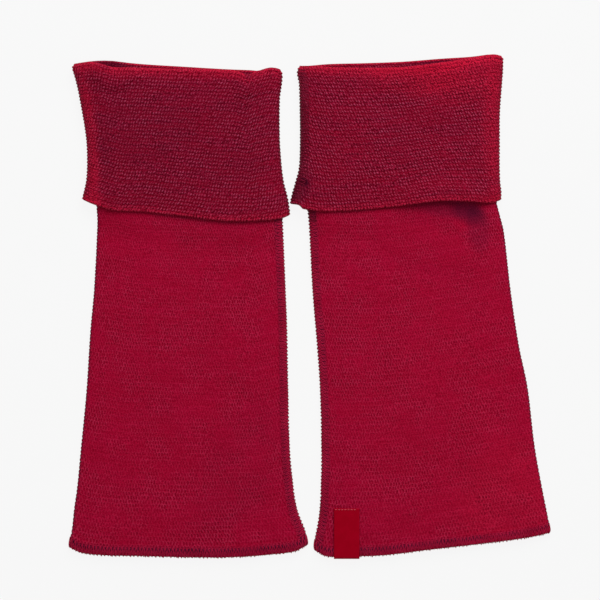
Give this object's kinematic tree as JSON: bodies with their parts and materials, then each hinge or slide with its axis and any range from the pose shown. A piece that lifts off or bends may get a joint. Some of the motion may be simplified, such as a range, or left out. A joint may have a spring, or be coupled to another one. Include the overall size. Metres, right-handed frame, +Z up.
{
  "type": "pair of leg warmers",
  "caption": "Knitted tubes for the lower legs, laid flat with their tops turned out into deep cuffs, with overlocked hems and side seams and a plain folded hem label.",
  "frame": {"origin": "on the surface that the pair lies on, under the middle of the pair's outline", "axes": "+Z up off the surface, +Y along the legs from hem to cuff, +X across from the left warmer to the right one"},
  "size_m": [0.3712, 0.3884, 0.0148],
  "materials": {
    "knit": "matt crimson knitted wool",
    "label_tape": "smooth crimson woven tape"
  },
  "bodies": {
    "root": {"left_warmer": "knit", "right_warmer": "knit", "label": "label_tape"}
  },
  "joints": []
}
